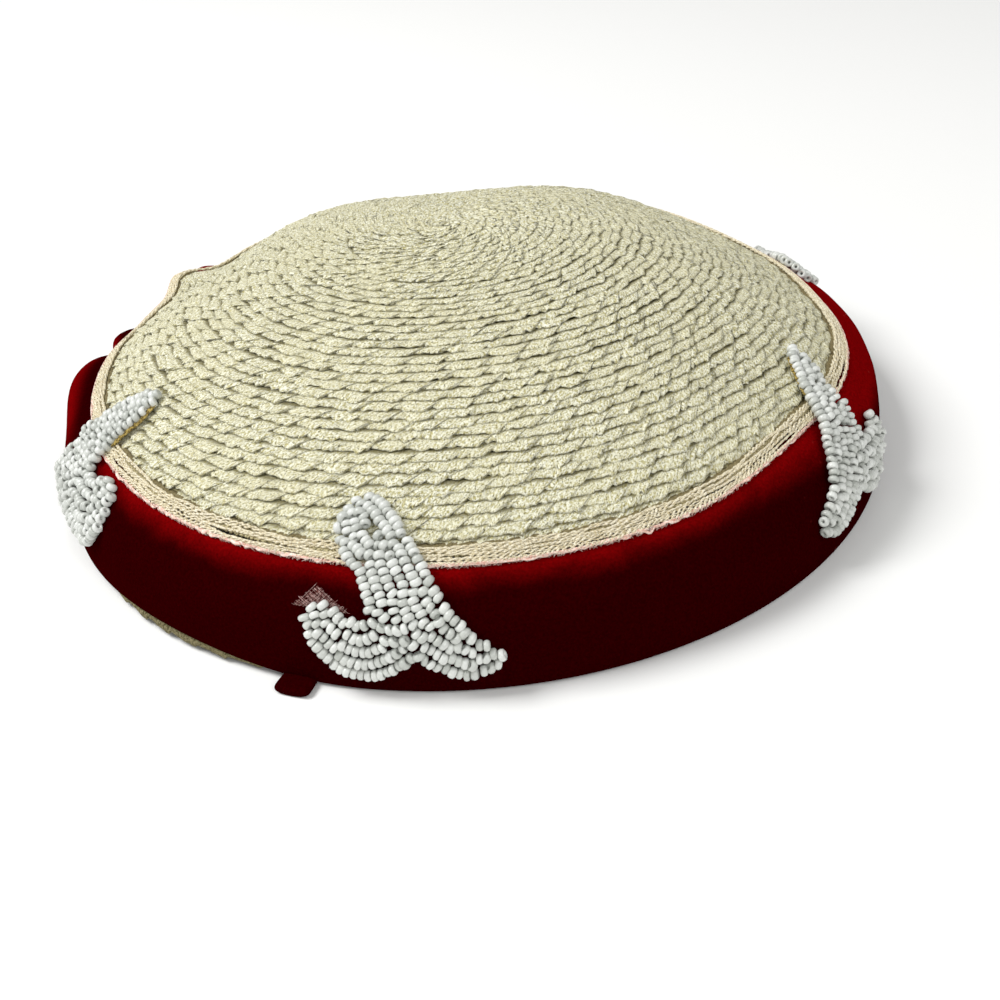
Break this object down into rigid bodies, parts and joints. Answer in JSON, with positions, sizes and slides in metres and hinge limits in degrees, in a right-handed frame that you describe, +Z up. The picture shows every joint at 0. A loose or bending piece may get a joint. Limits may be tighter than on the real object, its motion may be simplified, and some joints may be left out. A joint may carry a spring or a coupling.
{
  "type": "headband hat",
  "caption": "shallow round headband hat with a domed straw-braid crown, a red velvet side band and white beaded doves sewn over the crown's edge",
  "frame": {"origin": "centre of the open underside, on the plane of the lower edge that the hat rests on", "axes": "+Z up through the tip of the crown, -Y to the side that is worn to the front, +X to the right of the picture"},
  "size_m": [0.1698, 0.1737, 0.0437],
  "materials": {
    "straw": "sewn straw braid",
    "velvet": "cotton velvet pile",
    "beads": "opaque glossy seed beads"
  },
  "bodies": {
    "root": {"crown": "straw", "side_band": "straw", "velvet_band": "velvet", "velvet_tab": "velvet", "dove_front": "beads", "dove_front_right": "beads", "dove_back_right": "beads", "dove_back": "beads", "dove_front_left": "beads"}
  },
  "joints": []
}
